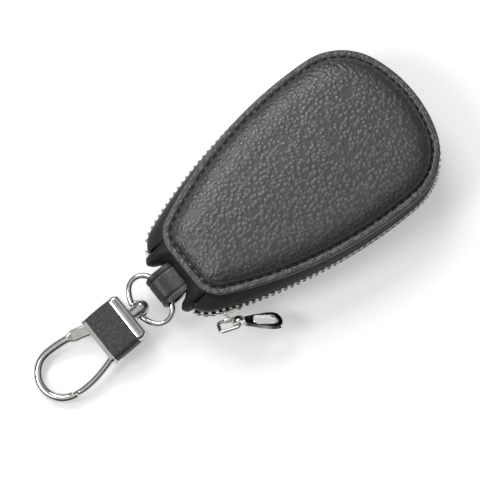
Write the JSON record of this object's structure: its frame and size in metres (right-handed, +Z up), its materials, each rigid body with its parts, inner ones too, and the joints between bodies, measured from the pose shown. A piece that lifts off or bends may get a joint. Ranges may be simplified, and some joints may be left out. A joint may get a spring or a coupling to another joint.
{
  "type": "key case",
  "caption": "Moulded leather key case with a zip all round its edge, a strap and ring with a swivelling snap hook, and a key ring inside.",
  "frame": {"origin": "on the flat underside, in the middle of the panels' length and width", "axes": "+X along the case to its wide end, the hook lies toward -X, +Z up through the front panel"},
  "size_m": [0.1472, 0.0601, 0.0256],
  "materials": {
    "panel_leather": "pebbled, satin",
    "strap_leather": "fine grain, satin",
    "sleeve_leather": "smooth, satin",
    "gusset_leather": "smooth, folded",
    "lining_cloth": "fine woven",
    "zip_tape": "herringbone woven tape",
    "zip_metal": "polished",
    "hardware_metal": "polished",
    "pull_metal": "polished black",
    "spring_steel": "drawn wire"
  },
  "bodies": {
    "rear_half": {"rear_panel": "panel_leather", "rear_lining": "lining_cloth", "lower_zip_tape": "zip_tape", "lower_zip_teeth": "zip_metal", "lower_zip_stops": "zip_metal", "end_gusset": "gusset_leather", "ring_strap": "strap_leather", "key_strap": "strap_leather", "strap_rivet": "hardware_metal"},
    "front_half": {"front_panel": "panel_leather", "front_lining": "lining_cloth", "upper_zip_tape": "zip_tape", "upper_zip_teeth": "zip_metal", "upper_zip_stops": "zip_metal"},
    "slider": {"slider_body": "zip_metal"},
    "link": {"slider_link": "zip_metal"},
    "pull": {"zip_pull": "pull_metal"},
    "keys": {"key_ring": "hardware_metal"},
    "ring": {"swivel_ring": "hardware_metal"},
    "clip": {"swivel_pin": "hardware_metal", "swivel_washer": "hardware_metal", "clip_end_cap": "hardware_metal", "clip_sleeve": "sleeve_leather", "clip_hook": "hardware_metal", "gate_pin": "hardware_metal", "gate_spring": "spring_steel"},
    "gate": {"spring_gate": "hardware_metal"}
  },
  "joints": [
    {"name": "case_hinge", "type": "hinge", "parent": "rear_half", "child": "front_half", "pos_m": [-0.0522, 0, 0.0126], "axis": [0, -1, 0], "range_deg": [0, 90], "deforming": ["end_gusset"]},
    {"name": "slider_run", "type": "hinge", "parent": "rear_half", "child": "slider", "pos_m": [0.018, 0.1403, 0.0126], "axis": [0, 0, 1], "range_deg": [0, 20]},
    {"name": "link_turn", "type": "hinge", "parent": "slider", "child": "link", "pos_m": [-0.04354, -0.02002, 0.0126], "axis": [-0.9381, 0.3464, 0], "range_deg": [-40, 30]},
    {"name": "pull_turn", "type": "hinge", "parent": "link", "child": "pull", "pos_m": [-0.04119, -0.02263, 0.01347], "axis": [0.3058, 0.8283, -0.4695], "range_deg": [-15, 50]},
    {"name": "key_ring_swing", "type": "hinge", "parent": "rear_half", "child": "keys", "pos_m": [-0.0346, 0, 0.0096], "axis": [0, -1, 0], "range_deg": [0, 40]},
    {"name": "ring_swing", "type": "hinge", "parent": "rear_half", "child": "ring", "pos_m": [-0.0522, 0, 0.0115], "axis": [0, -1, 0], "range_deg": [-60, 45]},
    {"name": "clip_swivel", "type": "hinge", "parent": "ring", "child": "clip", "pos_m": [-0.06326, 0, 0.00916], "axis": [0.9784, 0, 0.2067], "continuous": true},
    {"name": "gate_swing", "type": "hinge", "parent": "clip", "child": "gate", "pos_m": [-0.07502, -0.00545, 0.00668], "axis": [-0.2067, 0, 0.9784], "range_deg": [-22, 0], "stiffness_Nm_per_rad": 0.01, "springref_deg": 17.19}
  ],
  "couplings": [
    {"joint": "slider_run", "follows": "case_hinge", "ratio": 0.222}
  ]
}
